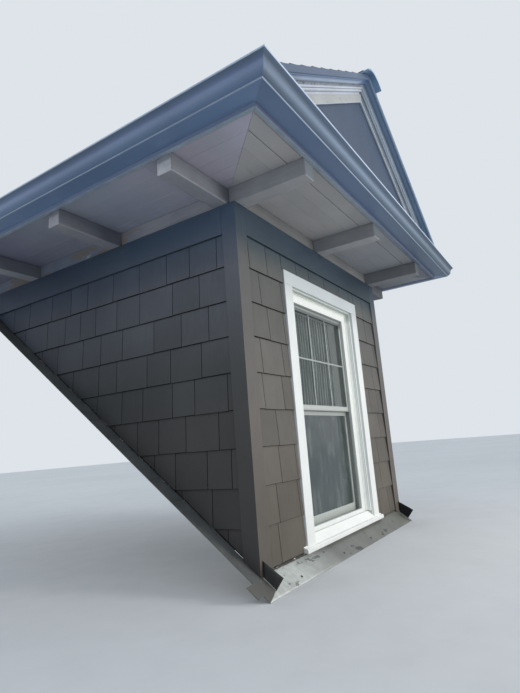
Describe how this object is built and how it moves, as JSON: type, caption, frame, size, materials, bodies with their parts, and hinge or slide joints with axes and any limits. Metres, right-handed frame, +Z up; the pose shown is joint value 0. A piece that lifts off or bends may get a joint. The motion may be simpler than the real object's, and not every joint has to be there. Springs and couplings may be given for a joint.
{
  "type": "dormer window",
  "caption": "Gable dormer with a sash window, shingled walls, boxed eaves on square beams and a moulded gutter, cut at its foot to sit on a sloping roof.",
  "frame": {"origin": "on the sloped underside of the bottom plate, at the middle of the dormer's width, where the plate rests on the main roof", "axes": "+X to the right seen from the front, +Y back into the main roof along the ridge, +Z up; the front faces -Y"},
  "size_m": [3.07, 4.4324, 2.9782],
  "materials": {
    "framing": "bare sawn softwood, out of sight behind the shingles",
    "lining": "painted ceiling lining",
    "dark_trim": "dark brown-grey exterior paint, weathered",
    "wall_shingles": "dark brown-grey stained wood shingles, weathered",
    "white_window": "white, satin",
    "white_trim": "white exterior paint",
    "window_glass": "clear, dark room behind",
    "eave_timber": "grey exterior paint, worn to a pale grain on the end faces",
    "bare_bed_board": "peeling paint over bare wood",
    "soffit_boards": "grey exterior paint, peeling and stained near the wall",
    "fascia_paint": "blue-grey exterior paint",
    "gutter_metal": "blue-grey baked paint",
    "gable_panel": "blue-grey exterior paint",
    "peeling_rake": "pale exterior paint, peeling",
    "deck_boards": "bare sawn softwood boards",
    "roofing": "mineral granules on asphalt shingles",
    "apron_metal": "galvanised, dulled and stained",
    "dark_flashing": "dark, weathered",
    "curtain": "thin sheer cloth"
  },
  "bodies": {
    "root": {"bottom_plate": "framing", "front_wall_left": "framing", "front_wall_right": "framing", "front_wall_head": "framing", "cheek_wall_left": "framing", "cheek_wall_right": "framing", "ceiling": "lining", "corner_board_left": "dark_trim", "corner_board_right": "dark_trim", "shingles_front": "wall_shingles", "shingles_cheek_left": "wall_shingles", "shingles_cheek_right": "wall_shingles", "frieze_boards": "dark_trim", "window_frame": "white_window", "casing_left": "white_trim", "casing_right": "white_trim", "casing_head": "white_trim", "reveal_trim": "white_window", "window_sill": "white_trim", "upper_sash": "white_window", "lower_sash": "white_window", "window_glass": "window_glass", "curtain": "curtain", "curtain_rod": "white_window", "cross_beams": "eave_timber", "front_lookouts": "eave_timber", "bed_boards": "bare_bed_board", "soffit_front": "soffit_boards", "soffit_sides": "soffit_boards", "fascia_front": "fascia_paint", "fascia_sides": "fascia_paint", "gutter_front": "gutter_metal", "gutter_left": "gutter_metal", "gutter_right": "gutter_metal", "tympanum": "gable_panel", "rake_frieze_left": "peeling_rake", "rake_frieze_right": "peeling_rake", "rake_crown_left": "peeling_rake", "rake_crown_right": "peeling_rake", "roof_deck_left": "deck_boards", "roof_deck_right": "deck_boards", "roofing_left": "roofing", "roofing_right": "roofing", "ridge_cap": "roofing", "ridge_board": "framing", "rafters": "framing", "apron_flashing": "apron_metal", "corner_flashings": "dark_flashing", "step_flashings": "dark_flashing"}
  },
  "joints": []
}
